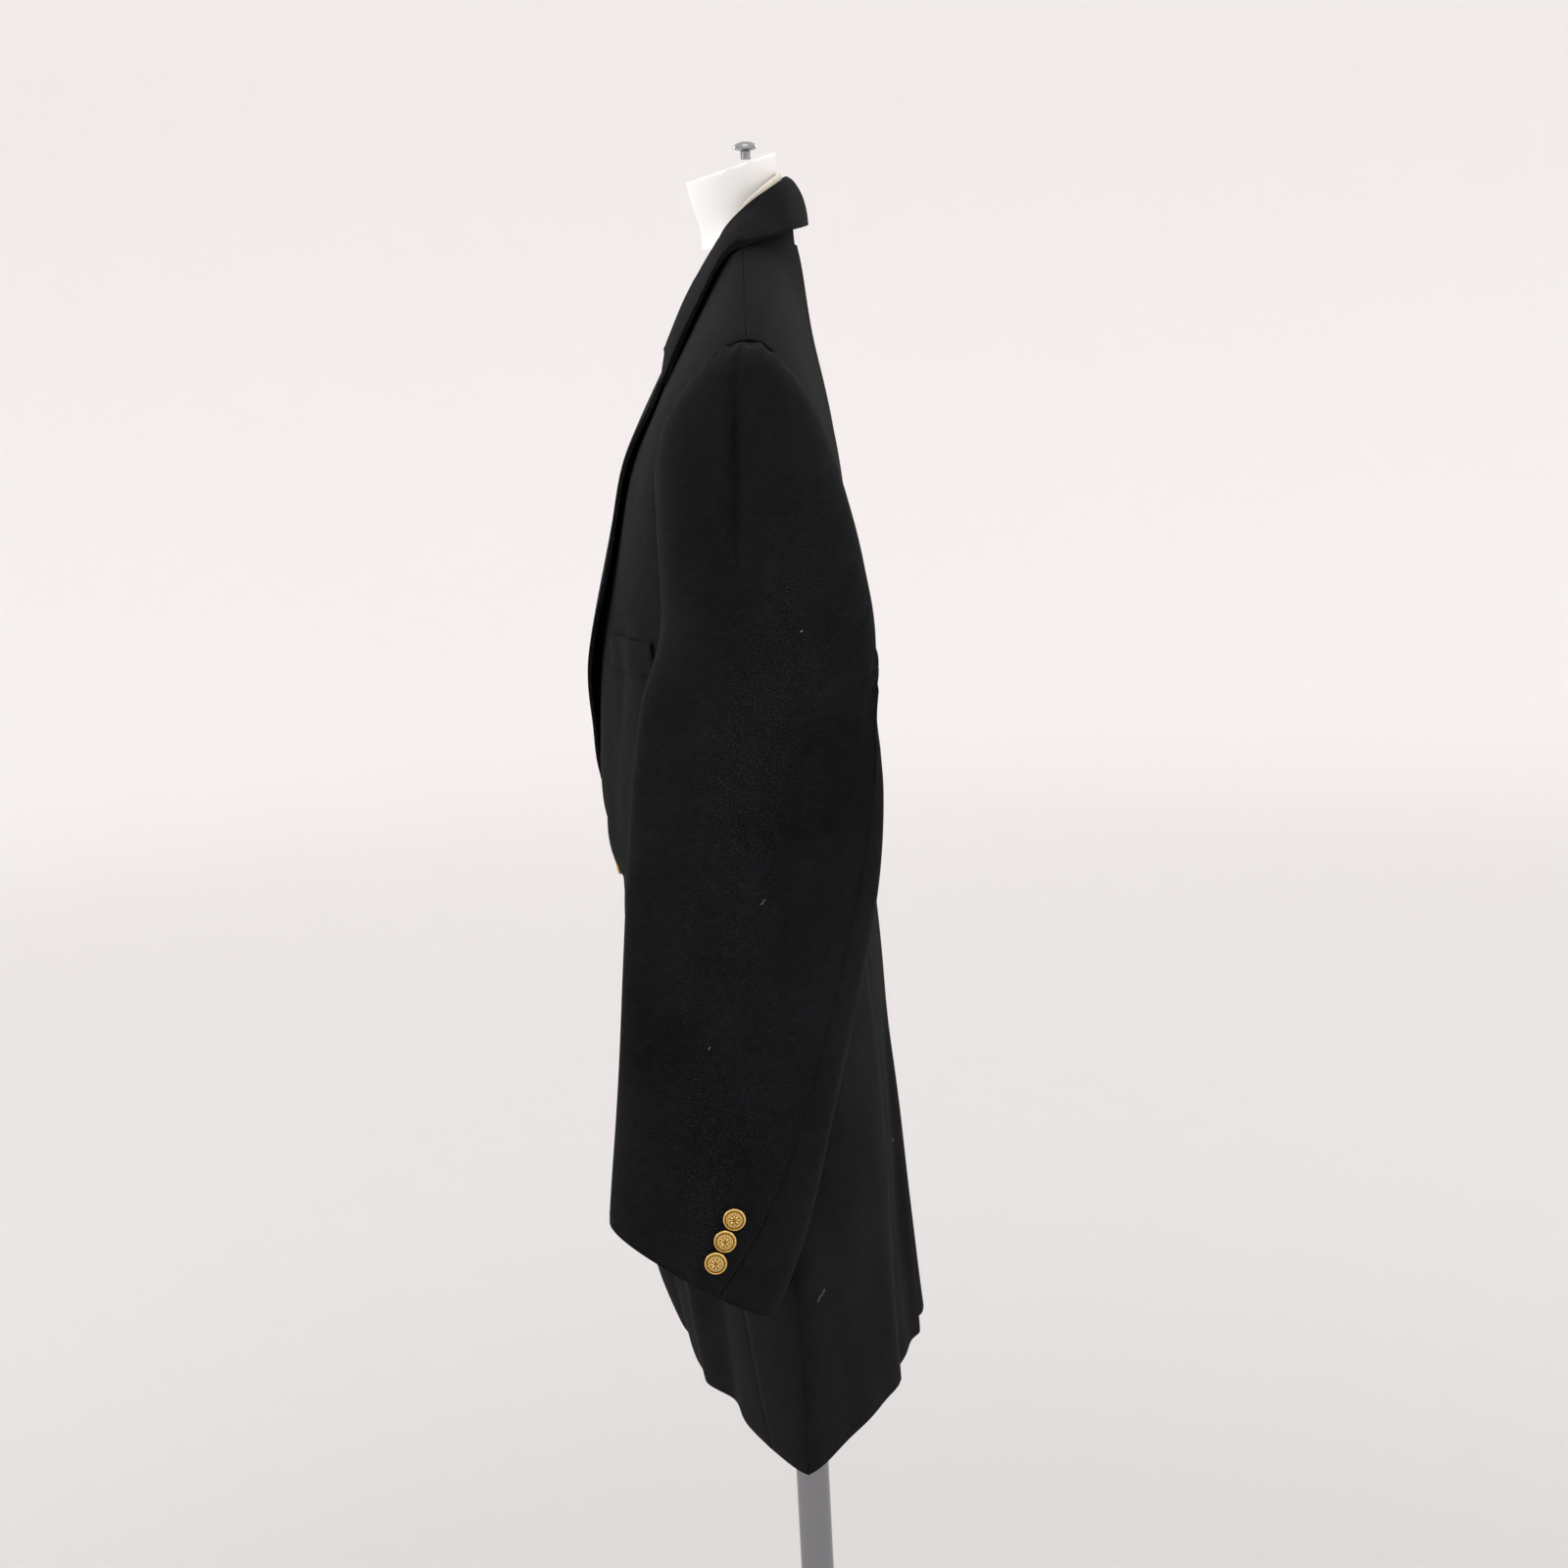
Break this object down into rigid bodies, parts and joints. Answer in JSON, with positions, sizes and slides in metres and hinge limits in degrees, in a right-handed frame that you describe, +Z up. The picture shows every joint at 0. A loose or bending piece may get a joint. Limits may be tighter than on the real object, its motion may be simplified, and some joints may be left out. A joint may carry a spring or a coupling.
{
  "type": "blazer on a dress form",
  "caption": "Near-black single-breasted wool blazer with gold-coloured domed buttons, on a limbless dress form with a pole and a round base.",
  "frame": {"origin": "on the floor, at the middle of the underside of the base", "axes": "+Z up, front of the garment facing -Y, wearer's left at +X"},
  "size_m": [0.6752, 0.34, 1.4853],
  "materials": {
    "wool": "near-black worsted wool",
    "button_metal": "satin gilt",
    "form_shell": "satin pale grey",
    "stand_metal": "bright"
  },
  "bodies": {
    "root": {"front_left": "wool", "front_right": "wool", "back_left": "wool", "back_right": "wool", "side_panel_left": "wool", "side_panel_right": "wool", "lapel_left": "wool", "lapel_right": "wool", "collar": "wool", "upper_sleeve_left": "wool", "upper_sleeve_right": "wool", "under_sleeve_left": "wool", "under_sleeve_right": "wool", "breast_welt": "wool", "hip_flap_left": "wool", "hip_flap_right": "wool", "front_button_upper": "button_metal", "front_button_lower": "button_metal", "cuff_button_left_1": "button_metal", "cuff_button_left_2": "button_metal", "cuff_button_left_3": "button_metal", "cuff_button_right_1": "button_metal", "cuff_button_right_2": "button_metal", "cuff_button_right_3": "button_metal", "form_torso": "form_shell", "form_neck": "form_shell", "form_knob": "stand_metal", "pole": "stand_metal", "base": "stand_metal"}
  },
  "joints": []
}
